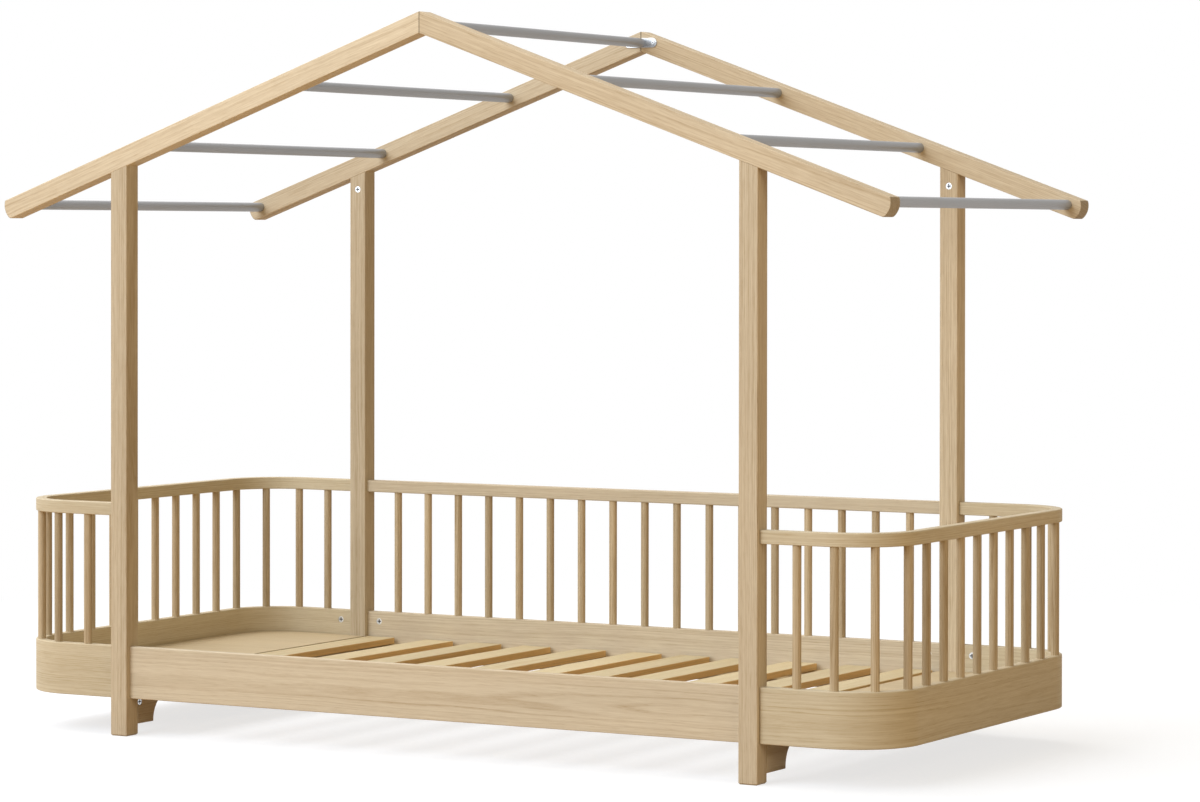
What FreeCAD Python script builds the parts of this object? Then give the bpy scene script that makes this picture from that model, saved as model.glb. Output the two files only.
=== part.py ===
import FreeCAD, Part
import math
import os

# House frame bed for a child, built as a bolted oak frame.
# Millimetres, +Z up.  The origin is on the floor under the middle of the bed,
# +X runs along the bed, -Y is the open front and +Y is the guarded rear.

Vector = FreeCAD.Vector

# ---- driving dimensions ------------------------------------------------------

# The mattress and the posts beside it
mattress_width = 900.0
mattress_clearance = 6.0  # between the mattress and each post
post_size = 43.0
bay_length = 1552.0  # post centre to post centre, along the bed
timber_bevel = 1.5  # along the edges of posts and rafters
foot_bevel = 3.0

# The bent end modules: a U-shaped base, spindles and a U-shaped rail
bed_length = 2164.0  # over the outer faces of the two ends
bend_radius = 143.0  # outside radius of each bent corner
bent_thickness = 24.0
arm_end_bevel = 3.0  # on the upright edges where an arm meets a post
base_bottom = 82.0
base_height = 114.0
rail_bottom = 482.0
rail_height = 28.0
edge_bevel = 2.0

# The straight sides between the posts
panel_thickness = 18.0

# Spindles
spindle_diameter = 18.0
spindle_pitch = 83.0  # wished for; each row takes the nearest even pitch
end_spindle_inset = 77.5  # first spindle from the post, along the bent rail
rear_spindle_inset = 81.0  # first spindle from the post, along the rear

# The roof
ridge_height = 1566.0
roof_angle = 19.82  # degrees below level
rafter_depth = 43.0  # square to the slope
rafter_length = 1157.5  # along the top edge, ridge to nose
nose_bulge = 7.0  # the low end is an arc that stands out this far
nose_top_radius = 3.0
nose_bottom_radius = 8.0
rod_diameter = 22.0
rod_wall = 1.5
rod_socket_depth = 10.0
socket_clearance = 0.2
rod_pitch = 374.7  # along the slope, from rod to rod
rods_per_slope = 3
ridge_rod_drop = 26.5  # ridge rod's axis below the ridge
plate_length = 84.0
plate_height = 22.0
plate_thickness = 2.5
plate_spigot_length = 20.0
plate_screw_spacing = 65.0
plate_screw_diameter = 7.0
plate_screw_length = 24.0
plate_screw_head = 1.2  # stands this far out of the plate

# The arched boards across the bed, which carry the platform
cross_thickness = 24.0
cross_foot_height = 20.0  # lugs clear the floor by this much
cross_lug_width = 83.0  # lug from the post's face to the arch, at the foot
arch_crown_height = 78.0

# The platform
slat_top = 137.0
slat_thickness = 15.0
slat_width = 75.0
slat_count = 11
slat_end_clearance = 8.5
slat_bevel = 1.5
# The slats lie loose on their ledges, so each is a little off the even pitch.
slat_drift = (0.0, 23.0, 16.0, 9.0, 16.0, 22.0, 6.0, -5.0, -3.0, 3.0, 0.0)
first_slat_gap = 8.0  # between the left end panel and the first slat
last_slat_gap = 19.0  # between the last slat and the right end panel
end_panel_setback = 1.5  # end panel's edge behind the posts' faces
end_panel_clearance = 1.5
ledge_width = 22.0
ledge_height = 25.0

# Joints: a connecting bolt screwed into the post and a round lock in the
# member draw each joint tight, and a stub tenon keeps it from turning.
lock_diameter = 15.0
lock_recess = 0.5  # lock's face below the wood
lock_past_bolt = 5.0  # lock reaches this far past the bolt's axis
lock_clearance = 0.15
base_lock_distance = 32.0  # lock's axis from the post's face
base_lock_drop = 23.5  # lock's axis below the top of the base
cross_lock_height = 68.0
roof_lock_drop = 34.0  # lock's axis below the rafter, in the post
bolt_diameter = 6.0
bolt_hole_diameter = 7.0
bolt_tip_margin = 2.5  # from a bolt's tip to the middle of its post
bolt_end_gap = 0.3
base_tenon_height = 50.0
base_tenon_thickness = 8.0
base_tenon_centre = 40.0  # above the bottom of the base
rail_tenon_height = 14.0
rail_tenon_thickness = 12.0
tenon_length = 9.0
tenon_clearance = 0.2

# Rows of small round pieces are drawn with flats, so that they stay light.
spindle_flats = 16
tube_flats = 24
lock_flats = 12
bolt_flats = 8

# ---- derived dimensions ------------------------------------------------------

post_y = mattress_width / 2 + mattress_clearance + post_size / 2
post_x = bay_length / 2
post_half = post_size / 2
bay_face_x = post_x - post_half  # posts' faces towards the middle of the bed
end_face_x = post_x + post_half  # posts' faces towards the ends
inner_face_y = post_y - post_half  # posts' faces towards the mattress
bolt_in_wood = post_half - bolt_tip_margin  # threaded length in the wood

end_x = bed_length / 2
bend_centre_x = end_x - bend_radius
bent_outer_y = post_y + bent_thickness / 2
bend_centre_y = bent_outer_y - bend_radius
centreline_radius = bend_radius - bent_thickness / 2
base_top = base_bottom + base_height
spindle_length = rail_bottom - base_top
base_lock_z = base_top - base_lock_drop

roof_slope = math.radians(roof_angle)
rafter_drop = rafter_depth / math.cos(roof_slope)  # rafter's upright depth
down_slope = Vector(math.cos(roof_slope), 0, -math.sin(roof_slope))
off_slope = Vector(math.sin(roof_slope), 0, math.cos(roof_slope))
gable_inner_y = inner_face_y  # the rafters are as thick as the posts
roof_lock_z = (
    ridge_height - post_x * math.tan(roof_slope) - rafter_drop - roof_lock_drop
)
ridge_rod_z = ridge_height - ridge_rod_drop

slat_bottom = slat_top - slat_thickness
panel_inner_y = post_y - panel_thickness / 2
cross_outer_x = end_face_x  # flush with the posts' outer side faces
cross_inner_x = cross_outer_x - cross_thickness
end_panel_edge_x = bay_face_x + end_panel_setback


# ---- helpers -----------------------------------------------------------------


def export(shape, name):
    """Write one sub-part to its own file."""
    shape.exportStep("parts/" + name + ".step")


def block(low, high):
    """Box between two opposite corners."""
    size = Vector(*high) - Vector(*low)
    return Part.makeBox(size.x, size.y, size.z, Vector(*low))


def rod(diameter, start, end, flats):
    """Round bar from one point to another; its flats' corners lie on the circle."""
    axis = end - start
    turn = FreeCAD.Rotation(Vector(0, 0, 1), axis)
    corners = []
    for index in range(flats):
        angle = 2 * math.pi * (index + 0.5) / flats
        corner = Vector(math.cos(angle), math.sin(angle), 0) * (diameter / 2)
        corners.append(start + turn.multVec(corner))
    return polygon(corners).extrude(axis)


def outline(segments):
    """Closed face from a run of segments."""
    edges = [segment.toShape() for segment in segments]
    return Part.Face(Part.Wire(edges))


def polygon(points):
    """Closed face from corner points."""
    return Part.Face(Part.makePolygon(points + [points[0]]))


def mirrored(shape, side_x, side_y):
    """Copy of a right rear piece for the side given by the two signs."""
    if side_x < 0:
        shape = shape.mirror(Vector(0, 0, 0), Vector(1, 0, 0))
    if side_y < 0:
        shape = shape.mirror(Vector(0, 0, 0), Vector(0, 1, 0))
    return shape


def upright_edges(shape):
    """Straight edges that run along Z."""
    chosen = []
    for edge in shape.Edges:
        ends = edge.Vertexes
        if len(ends) == 2:
            run = ends[1].Point - ends[0].Point
            if math.hypot(run.x, run.y) < 1e-6 and abs(run.z) > 1e-6:
                chosen.append(edge)
    return chosen


def level_edges(shape, height):
    """Edges that lie at one height."""
    chosen = []
    for edge in shape.Edges:
        box = edge.BoundBox
        if abs(box.ZMin - height) < 1e-4 and abs(box.ZMax - height) < 1e-4:
            chosen.append(edge)
    return chosen


def even_places(length, inset):
    """Spindle places along a row: insets kept, pitch as near as it divides."""
    spaces = max(1, round((length - 2 * inset) / spindle_pitch))
    pitch = (length - 2 * inset) / spaces
    return [inset + pitch * index for index in range(spaces + 1)]


# ---- joints ------------------------------------------------------------------


def lock(face_point, inward, reach):
    """Round lock let into a face; reach is the depth of the bolt's axis."""
    start = face_point + inward * lock_recess
    end = face_point + inward * (reach + lock_past_bolt)
    return rod(lock_diameter, start, end, lock_flats)


def lock_bore(face_point, inward, reach):
    """Blind bore that a lock sits in."""
    end = face_point + inward * (reach + lock_past_bolt)
    return rod(lock_diameter + 2 * lock_clearance, face_point, end, lock_flats)


def bolt(joint_point, towards_lock, lock_distance):
    """Connecting bolt: its threaded end is screwed into the wood behind the joint."""
    start = joint_point - towards_lock * bolt_in_wood
    reach = lock_distance - lock_diameter / 2 - bolt_end_gap
    return rod(bolt_diameter, start, joint_point + towards_lock * reach, bolt_flats)


def bolt_hole(joint_point, towards_lock, lock_distance):
    """Clearance hole from the joint to the lock's bore."""
    end = joint_point + towards_lock * lock_distance
    return rod(bolt_hole_diameter, joint_point, end, bolt_flats)


def stub_tenon(face_x, towards, centre_z, thickness, height, clearance):
    """Tenon along X on the post line; with a clearance it is the mortise."""
    depth = tenon_length + clearance
    half_y = thickness / 2 + clearance
    half_z = height / 2 + clearance
    low_x = min(face_x, face_x + towards * depth)
    return block(
        (low_x, post_y - half_y, centre_z - half_z),
        (low_x + depth, post_y + half_y, centre_z + half_z),
    )


def base_tenon(face_x, towards, clearance=0.0):
    """Stub tenon of a base board."""
    centre_z = base_bottom + base_tenon_centre
    return stub_tenon(
        face_x, towards, centre_z, base_tenon_thickness, base_tenon_height, clearance
    )


def rail_tenon(face_x, towards, clearance=0.0):
    """Stub tenon of a top rail."""
    centre_z = rail_bottom + rail_height / 2
    return stub_tenon(
        face_x, towards, centre_z, rail_tenon_thickness, rail_tenon_height, clearance
    )


# ---- posts -------------------------------------------------------------------


def rafter_underside(x):
    """Height of the rafter's lower face at a distance from the ridge."""
    return ridge_height - rafter_drop - abs(x) * math.tan(roof_slope)


def post_section(margin, z):
    """Square of the right rear post at a height, bevelled and drawn in by a margin."""
    reach = post_half - margin
    side = reach - timber_bevel
    corners = [(reach, side), (side, reach), (-side, reach), (-reach, side)]
    corners += [(-reach, -side), (-side, -reach), (side, -reach), (reach, -side)]
    points = [Vector(post_x + x, post_y + y, z) for x, y in corners]
    return Part.makePolygon(points + [points[0]])


def post(has_bay_rail):
    """Right rear post: square, cut to the slope on top, chamfered at the foot."""
    foot = post_section(foot_bevel, 0)
    full = post_section(0, foot_bevel)
    shape = Part.makeLoft([foot, full], True, True)
    tallest = rafter_underside(bay_face_x)
    shaft = Part.Face(full).extrude(Vector(0, 0, tallest - foot_bevel))
    above = polygon(
        [
            Vector(bay_face_x, 0, tallest),
            Vector(end_face_x, 0, tallest),
            Vector(end_face_x, 0, rafter_underside(end_face_x)),
        ]
    )
    shape = shape.fuse(shaft).removeSplitter()
    shape = shape.cut(above.extrude(Vector(0, post_y + post_size, 0)))
    face_point = Vector(post_x, inner_face_y, roof_lock_z)
    top_point = Vector(post_x, post_y, rafter_underside(post_x) + post_half)
    cuts = [
        lock_bore(face_point, Vector(0, 1, 0), post_half),
        bolt_hole(top_point, Vector(0, 0, -1), roof_lock_drop + post_half),
        base_tenon(end_face_x, -1, tenon_clearance),
        base_tenon(bay_face_x, 1, tenon_clearance),
        rail_tenon(end_face_x, -1, tenon_clearance),
    ]
    if has_bay_rail:
        cuts.append(rail_tenon(bay_face_x, 1, tenon_clearance))
    return shape.cut(cuts)


# ---- bent end modules --------------------------------------------------------


def bent_outline(margin):
    """U outline of the right end, drawn in by a margin from the outer face."""
    radius = bend_radius - margin
    half_y = bent_outer_y - margin
    far_x = end_x - margin
    turn = radius * math.sqrt(0.5)
    front_arm = Vector(end_face_x, -half_y, 0)
    front_bend = Vector(bend_centre_x, -half_y, 0)
    front_middle = Vector(bend_centre_x + turn, -bend_centre_y - turn, 0)
    front_end = Vector(far_x, -bend_centre_y, 0)
    rear_end = Vector(far_x, bend_centre_y, 0)
    rear_middle = Vector(bend_centre_x + turn, bend_centre_y + turn, 0)
    rear_bend = Vector(bend_centre_x, half_y, 0)
    rear_arm = Vector(end_face_x, half_y, 0)
    return [
        Part.LineSegment(front_arm, front_bend),
        Part.Arc(front_bend, front_middle, front_end),
        Part.LineSegment(front_end, rear_end),
        Part.Arc(rear_end, rear_middle, rear_bend),
        Part.LineSegment(rear_bend, rear_arm),
    ]


def bent_board(bottom, height):
    """Laminated board bent to a U, standing on its edge, edges eased."""
    outer = bent_outline(0)
    inner = bent_outline(bent_thickness)
    closing = [
        Part.LineSegment(outer[0].StartPoint, inner[0].StartPoint),
        Part.LineSegment(outer[4].EndPoint, inner[4].EndPoint),
    ]
    edges = [segment.toShape() for segment in outer + inner + closing]
    face = Part.Face(Part.Wire(Part.__sortEdges__(edges)))
    face.translate(Vector(0, 0, bottom))
    shape = face.extrude(Vector(0, 0, height))
    ends = []
    for edge in upright_edges(shape):
        if abs(edge.Vertexes[0].X - end_face_x) < 1e-6:
            ends.append(edge)
    shape = shape.makeChamfer(arm_end_bevel, ends)
    eased = level_edges(shape, bottom + height) + level_edges(shape, bottom)
    return shape.makeChamfer(edge_bevel, eased)


def arm_joint(side_y):
    """Joint point, lock face point and inward direction of one arm of the right end."""
    joint_point = Vector(end_face_x, side_y * post_y, base_lock_z)
    inner_y = side_y * (post_y - bent_thickness / 2)
    face_point = Vector(end_face_x + base_lock_distance, inner_y, base_lock_z)
    return joint_point, face_point, Vector(0, side_y, 0)


def end_base():
    """Bent base of the right end, with its tenons and its lock bores."""
    shape = bent_board(base_bottom, base_height)
    cuts = []
    tenons = []
    for side_y in (-1, 1):
        joint_point, face_point, inward = arm_joint(side_y)
        cuts.append(lock_bore(face_point, inward, bent_thickness / 2))
        cuts.append(bolt_hole(joint_point, Vector(1, 0, 0), base_lock_distance))
        tenons.append(mirrored(base_tenon(end_face_x, -1), 1, side_y))
    return shape.fuse(tenons).removeSplitter().cut(cuts)


def end_rail():
    """Bent top rail of the right end, with its tenons."""
    shape = bent_board(rail_bottom, rail_height)
    tenons = [mirrored(rail_tenon(end_face_x, -1), 1, side_y) for side_y in (-1, 1)]
    return shape.fuse(tenons).removeSplitter()


def bent_place(distance):
    """Point on the U's centreline at a distance from the front post's face."""
    arm = bend_centre_x - end_face_x
    bend = centreline_radius * math.pi / 2
    straight = 2 * bend_centre_y
    half = arm + bend + straight / 2
    side_y = -1
    if distance > half:
        distance = 2 * half - distance
        side_y = 1
    if distance < arm:
        return Vector(end_face_x + distance, side_y * post_y, 0)
    if distance < arm + bend:
        turn = (distance - arm) / centreline_radius
        x = bend_centre_x + centreline_radius * math.sin(turn)
        y = bend_centre_y + centreline_radius * math.cos(turn)
        return Vector(x, side_y * y, 0)
    y = bend_centre_y - (distance - arm - bend)
    return Vector(end_x - bent_thickness / 2, side_y * y, 0)


def spindle(place):
    """Turned spindle between base and rail."""
    foot = Vector(place.x, place.y, base_top)
    return rod(spindle_diameter, foot, foot + Vector(0, 0, spindle_length), spindle_flats)


def end_spindles():
    """Row of spindles round the right end."""
    arm = bend_centre_x - end_face_x
    length = 2 * (arm + bend_centre_y) + math.pi * centreline_radius
    places = [bent_place(step) for step in even_places(length, end_spindle_inset)]
    return Part.makeCompound([spindle(place) for place in places])


def rear_spindles():
    """Row of spindles along the rear, between the posts."""
    steps = even_places(2 * bay_face_x, rear_spindle_inset)
    places = [Vector(step - bay_face_x, post_y, 0) for step in steps]
    return Part.makeCompound([spindle(place) for place in places])


# ---- straight sides ----------------------------------------------------------


def straight_board(thickness, bottom, height):
    """Rear board between the posts, with its long edges eased."""
    shape = block(
        (-bay_face_x, post_y - thickness / 2, bottom),
        (bay_face_x, post_y + thickness / 2, bottom + height),
    )
    long_edges = []
    for edge in shape.Edges:
        if edge.BoundBox.XLength > bay_face_x:
            long_edges.append(edge)
    return shape.makeChamfer(edge_bevel, long_edges)


def panel_joint(side_x):
    """Joint point and lock face point at one end of the rear side panel."""
    joint_point = Vector(side_x * bay_face_x, post_y, base_lock_z)
    lock_x = side_x * (bay_face_x - base_lock_distance)
    return joint_point, Vector(lock_x, panel_inner_y, base_lock_z)


def side_panel():
    """Rear side panel; the front one is its mirror image."""
    shape = straight_board(panel_thickness, base_bottom, base_height)
    cuts = []
    tenons = []
    for side_x in (-1, 1):
        joint_point, face_point = panel_joint(side_x)
        cuts.append(lock_bore(face_point, Vector(0, 1, 0), panel_thickness / 2))
        cuts.append(bolt_hole(joint_point, Vector(-side_x, 0, 0), base_lock_distance))
        tenons.append(mirrored(base_tenon(bay_face_x, 1), side_x, 1))
    return shape.fuse(tenons).cut(cuts)


def rear_rail():
    """Straight top rail of the rear side."""
    shape = straight_board(bent_thickness, rail_bottom, rail_height)
    tenons = [mirrored(rail_tenon(bay_face_x, 1), side_x, 1) for side_x in (-1, 1)]
    return shape.fuse(tenons)


# ---- roof --------------------------------------------------------------------


def slope_point(along, depth):
    """Point in the right slope: distance down it, and depth below its top."""
    return Vector(0, 0, ridge_height) + down_slope * along - off_slope * depth


def rafter():
    """Right rear rafter: mitred at the ridge, with an arc for its low end."""
    ridge_top = slope_point(0, 0)
    ridge_bottom = Vector(0, 0, ridge_height - rafter_drop)
    nose_top = slope_point(rafter_length, 0)
    nose_middle = slope_point(rafter_length + nose_bulge, rafter_depth / 2)
    nose_bottom = slope_point(rafter_length, rafter_depth)
    face = outline(
        [
            Part.LineSegment(ridge_top, nose_top),
            Part.Arc(nose_top, nose_middle, nose_bottom),
            Part.LineSegment(nose_bottom, ridge_bottom),
            Part.LineSegment(ridge_bottom, ridge_top),
        ]
    )
    face.translate(Vector(0, gable_inner_y, 0))
    shape = face.extrude(Vector(0, post_size, 0))
    rounded_corners = [(nose_top, nose_top_radius), (nose_bottom, nose_bottom_radius)]
    for corner, radius in rounded_corners:
        shape = shape.makeFillet(radius, edges_across(shape, corner))
    eased = []
    for edge in shape.Edges:
        box = edge.BoundBox
        if box.YLength < 1e-4 and box.XMax > 1.0:
            eased.append(edge)
    shape = shape.makeChamfer(timber_bevel, eased)
    sockets = []
    for index in range(1, rods_per_slope + 1):
        start = rod_place(index)
        end = start + Vector(0, rod_socket_depth, 0)
        sockets.append(rod(rod_diameter + 2 * socket_clearance, start, end, tube_flats))
    return shape.cut(sockets)


def edges_across(shape, corner):
    """Edges along Y that pass through a corner of the rafter's profile."""
    chosen = []
    for edge in shape.Edges:
        box = edge.BoundBox
        offset = math.hypot(box.Center.x - corner.x, box.Center.z - corner.z)
        if offset < 1e-4 and box.YLength > post_size / 2:
            chosen.append(edge)
    return chosen


def rod_place(index):
    """Where a rod's axis meets the rear gable's inner face; 0 is the ridge."""
    if index == 0:
        return Vector(0, gable_inner_y, ridge_rod_z)
    place = slope_point(index * rod_pitch, rafter_depth / 2)
    shift = Vector(rafter_depth / 2 * math.sin(roof_slope), 0, 0)
    return place + shift + Vector(0, gable_inner_y, 0)


def roof_rod(index, side_x):
    """Tube between the gables: the ridge rod or one of a slope's rods."""
    place = rod_place(index)
    reach = gable_inner_y + rod_socket_depth - socket_clearance
    if index == 0:
        reach = gable_inner_y - plate_thickness
    start = Vector(side_x * place.x, -reach, place.z)
    end = Vector(side_x * place.x, reach, place.z)
    bore = rod(rod_diameter - 2 * rod_wall, start, end, tube_flats)
    return rod(rod_diameter, start, end, tube_flats).cut(bore)


def ridge_plate():
    """Rear ridge plate: a stadium across the mitre, with a spigot for the rod."""
    half_run = (plate_length - plate_height) / 2
    half_height = plate_height / 2
    left_top = Vector(-half_run, 0, half_height)
    right_top = Vector(half_run, 0, half_height)
    right_bottom = Vector(half_run, 0, -half_height)
    left_bottom = Vector(-half_run, 0, -half_height)
    face = outline(
        [
            Part.LineSegment(left_top, right_top),
            Part.Arc(right_top, Vector(plate_length / 2, 0, 0), right_bottom),
            Part.LineSegment(right_bottom, left_bottom),
            Part.Arc(left_bottom, Vector(-plate_length / 2, 0, 0), left_top),
        ]
    )
    face.translate(Vector(0, gable_inner_y - plate_thickness, ridge_rod_z))
    plate = face.extrude(Vector(0, plate_thickness, 0))
    root = Vector(0, gable_inner_y - plate_thickness, ridge_rod_z)
    spigot_diameter = rod_diameter - 2 * rod_wall - 2 * socket_clearance
    tip = root - Vector(0, plate_spigot_length, 0)
    spigot = rod(spigot_diameter, root, tip, tube_flats)
    holes = [plate_screw(side_x, lock_clearance) for side_x in (-1, 1)]
    return plate.fuse(spigot).cut(holes)


def plate_screw(side_x, clearance=0.0):
    """Screw of the rear ridge plate, driven into the rafter."""
    x = side_x * plate_screw_spacing / 2
    outer_y = gable_inner_y - plate_thickness - plate_screw_head
    start = Vector(x, outer_y, ridge_rod_z)
    end = start + Vector(0, plate_screw_length, 0)
    return rod(plate_screw_diameter + 2 * clearance, start, end, bolt_flats)


# ---- platform ----------------------------------------------------------------


def cross_board():
    """Right cross board: a lug by each post and an arch between them."""
    foot_y = inner_face_y - cross_lug_width
    arch_radius = arch_crown_height - cross_foot_height
    crown_y = foot_y - arch_radius
    bend = arch_radius * math.sqrt(0.5)
    x = cross_inner_x
    low = cross_foot_height
    bend_z = low + bend
    face = outline(
        [
            Part.LineSegment(Vector(x, inner_face_y, slat_bottom), Vector(x, inner_face_y, low)),
            Part.LineSegment(Vector(x, inner_face_y, low), Vector(x, foot_y, low)),
            Part.Arc(
                Vector(x, foot_y, low),
                Vector(x, crown_y + bend, bend_z),
                Vector(x, crown_y, arch_crown_height),
            ),
            Part.LineSegment(
                Vector(x, crown_y, arch_crown_height), Vector(x, -crown_y, arch_crown_height)
            ),
            Part.Arc(
                Vector(x, -crown_y, arch_crown_height),
                Vector(x, -crown_y - bend, bend_z),
                Vector(x, -foot_y, low),
            ),
            Part.LineSegment(Vector(x, -foot_y, low), Vector(x, -inner_face_y, low)),
            Part.LineSegment(Vector(x, -inner_face_y, low), Vector(x, -inner_face_y, slat_bottom)),
            Part.LineSegment(
                Vector(x, -inner_face_y, slat_bottom), Vector(x, inner_face_y, slat_bottom)
            ),
        ]
    )
    shape = face.extrude(Vector(cross_thickness, 0, 0))
    cuts = []
    for side_y in (-1, 1):
        joint_point, face_point = cross_joint(side_y)
        cuts.append(lock_bore(face_point, Vector(1, 0, 0), cross_thickness / 2))
        cuts.append(bolt_hole(joint_point, Vector(0, -side_y, 0), base_lock_distance))
    return shape.cut(cuts)


def cross_joint(side_y):
    """Joint point and lock face point at one end of the right cross board."""
    middle_x = cross_inner_x + cross_thickness / 2
    joint_point = Vector(middle_x, side_y * inner_face_y, cross_lock_height)
    lock_y = side_y * (inner_face_y - base_lock_distance)
    return joint_point, Vector(cross_inner_x, lock_y, cross_lock_height)


def slat_ledge():
    """Rear ledge: a batten on the side panel that carries the slats' ends."""
    half_length = bay_face_x - end_panel_clearance
    return block(
        (-half_length, panel_inner_y - ledge_width, slat_bottom - ledge_height),
        (half_length, panel_inner_y, slat_bottom),
    )


def end_cleat():
    """Batten on the right end's inner face that carries the end panel."""
    inner_x = end_x - bent_thickness
    return block(
        (inner_x - ledge_width, -bend_centre_y, slat_bottom - ledge_height),
        (inner_x, bend_centre_y, slat_bottom),
    )


def end_panel():
    """Solid panel in the right end: notched round the posts, round at the corners."""
    far_x = end_x - bent_thickness - end_panel_clearance
    half_y = bent_outer_y - bent_thickness - end_panel_clearance
    notch_y = inner_face_y - end_panel_clearance
    notch_x = end_face_x + end_panel_clearance
    radius = bend_radius - bent_thickness - end_panel_clearance
    turn = radius * math.sqrt(0.5)
    z = slat_bottom

    def mirrored_run(side_y):
        return [
            Vector(end_panel_edge_x, side_y * notch_y, z),
            Vector(notch_x, side_y * notch_y, z),
            Vector(notch_x, side_y * half_y, z),
            Vector(bend_centre_x, side_y * half_y, z),
            Vector(bend_centre_x + turn, side_y * (bend_centre_y + turn), z),
            Vector(far_x, side_y * bend_centre_y, z),
        ]

    front = mirrored_run(-1)
    rear = mirrored_run(1)
    face = outline(
        [
            Part.LineSegment(front[0], front[1]),
            Part.LineSegment(front[1], front[2]),
            Part.LineSegment(front[2], front[3]),
            Part.Arc(front[3], front[4], front[5]),
            Part.LineSegment(front[5], rear[5]),
            Part.Arc(rear[5], rear[4], rear[3]),
            Part.LineSegment(rear[3], rear[2]),
            Part.LineSegment(rear[2], rear[1]),
            Part.LineSegment(rear[1], rear[0]),
            Part.LineSegment(rear[0], front[0]),
        ]
    )
    return face.extrude(Vector(0, 0, slat_thickness))


def slat(index):
    """One loose slat, with its long edges eased."""
    first_x = -end_panel_edge_x + first_slat_gap + slat_width / 2
    last_x = end_panel_edge_x - last_slat_gap - slat_width / 2
    pitch = (last_x - first_x) / (slat_count - 1)
    middle_x = first_x + pitch * index + slat_drift[index]
    half_length = panel_inner_y - slat_end_clearance
    shape = block(
        (middle_x - slat_width / 2, -half_length, slat_bottom),
        (middle_x + slat_width / 2, half_length, slat_top),
    )
    long_edges = [edge for edge in shape.Edges if edge.BoundBox.YLength > half_length]
    return shape.makeChamfer(slat_bevel, long_edges)


# ---- locks and bolts ---------------------------------------------------------


def both_sides(shape):
    """The four copies of a right rear piece."""
    return [mirrored(shape, x, y) for x in (-1, 1) for y in (-1, 1)]


def base_hardware():
    """Locks and bolts of the end modules and of the side panels."""
    joint_point, face_point, inward = arm_joint(1)
    arm_lock = lock(face_point, inward, bent_thickness / 2)
    arm_bolt = bolt(joint_point, Vector(1, 0, 0), base_lock_distance)
    joint_point, face_point = panel_joint(1)
    panel_lock = lock(face_point, Vector(0, 1, 0), panel_thickness / 2)
    panel_bolt = bolt(joint_point, Vector(-1, 0, 0), base_lock_distance)
    return {
        "end_base_locks": both_sides(arm_lock),
        "end_base_bolts": both_sides(arm_bolt),
        "side_panel_locks": both_sides(panel_lock),
        "side_panel_bolts": both_sides(panel_bolt),
    }


def cross_hardware():
    """Locks and bolts of the cross boards."""
    joint_point, face_point = cross_joint(1)
    return {
        "cross_board_locks": both_sides(lock(face_point, Vector(1, 0, 0), cross_thickness / 2)),
        "cross_board_bolts": both_sides(bolt(joint_point, Vector(0, -1, 0), base_lock_distance)),
    }


def roof_hardware():
    """Locks and bolts between posts and rafters."""
    face_point = Vector(post_x, inner_face_y, roof_lock_z)
    joint_point = Vector(post_x, post_y, rafter_underside(post_x))
    return {
        "roof_locks": both_sides(lock(face_point, Vector(0, 1, 0), post_half)),
        "roof_bolts": both_sides(bolt(joint_point, Vector(0, 0, -1), roof_lock_drop)),
    }


# ---- build -------------------------------------------------------------------


def build():
    """Write every sub-part."""
    os.makedirs("parts", exist_ok=True)
    x_sides = {"left": -1, "right": 1}
    y_sides = {"front": -1, "rear": 1}
    posts = {"front": post(False), "rear": post(True)}
    shared_rafter = rafter()
    shared_plate = ridge_plate()
    shared_panel = side_panel()
    shared_ledge = slat_ledge()
    for y_name, side_y in y_sides.items():
        for x_name, side_x in x_sides.items():
            corner = y_name + "_" + x_name
            export(mirrored(posts[y_name], side_x, side_y), "post_" + corner)
            export(mirrored(shared_rafter, side_x, side_y), "rafter_" + corner)
        export(mirrored(shared_plate, 1, side_y), "ridge_plate_" + y_name)
        export(mirrored(shared_panel, 1, side_y), "side_panel_" + y_name)
        export(mirrored(shared_ledge, 1, side_y), "slat_ledge_" + y_name)
    export(rear_rail(), "rail_rear")
    export(rear_spindles(), "spindles_rear")

    end_pieces = {
        "end_base": end_base(),
        "end_rail": end_rail(),
        "end_spindles": end_spindles(),
        "end_panel": end_panel(),
        "end_cleat": end_cleat(),
        "cross_board": cross_board(),
    }
    for name, shape in end_pieces.items():
        for x_name, side_x in x_sides.items():
            export(mirrored(shape, side_x, 1), name + "_" + x_name)

    export(roof_rod(0, 1), "roof_rod_ridge")
    for x_name, side_x in x_sides.items():
        for index in range(1, rods_per_slope + 1):
            export(roof_rod(index, side_x), "roof_rod_" + x_name + "_" + str(index))
    screws = []
    for side_x in (-1, 1):
        for side_y in (-1, 1):
            screws.append(mirrored(plate_screw(side_x), 1, side_y))
    export(Part.makeCompound(screws), "ridge_plate_screws")

    for index in range(slat_count):
        export(slat(index), "slat_" + str(index + 1).zfill(2))
    for hardware in (base_hardware(), cross_hardware(), roof_hardware()):
        for name, pieces in hardware.items():
            export(Part.makeCompound(pieces), name)


build()
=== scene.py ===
import bpy
import math
import numpy as np
from mathutils import Matrix, Vector


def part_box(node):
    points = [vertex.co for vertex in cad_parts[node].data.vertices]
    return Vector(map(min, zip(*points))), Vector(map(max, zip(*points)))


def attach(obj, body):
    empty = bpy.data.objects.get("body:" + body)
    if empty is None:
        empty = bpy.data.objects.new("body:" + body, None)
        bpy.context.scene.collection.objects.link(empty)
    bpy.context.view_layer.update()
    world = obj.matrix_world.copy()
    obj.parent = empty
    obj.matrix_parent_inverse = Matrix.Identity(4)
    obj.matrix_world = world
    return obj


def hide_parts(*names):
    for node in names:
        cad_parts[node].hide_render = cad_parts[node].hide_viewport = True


# Looks of the house frame bed.  Metres; +X along the bed, -Y the open front, +Z up.

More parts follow.
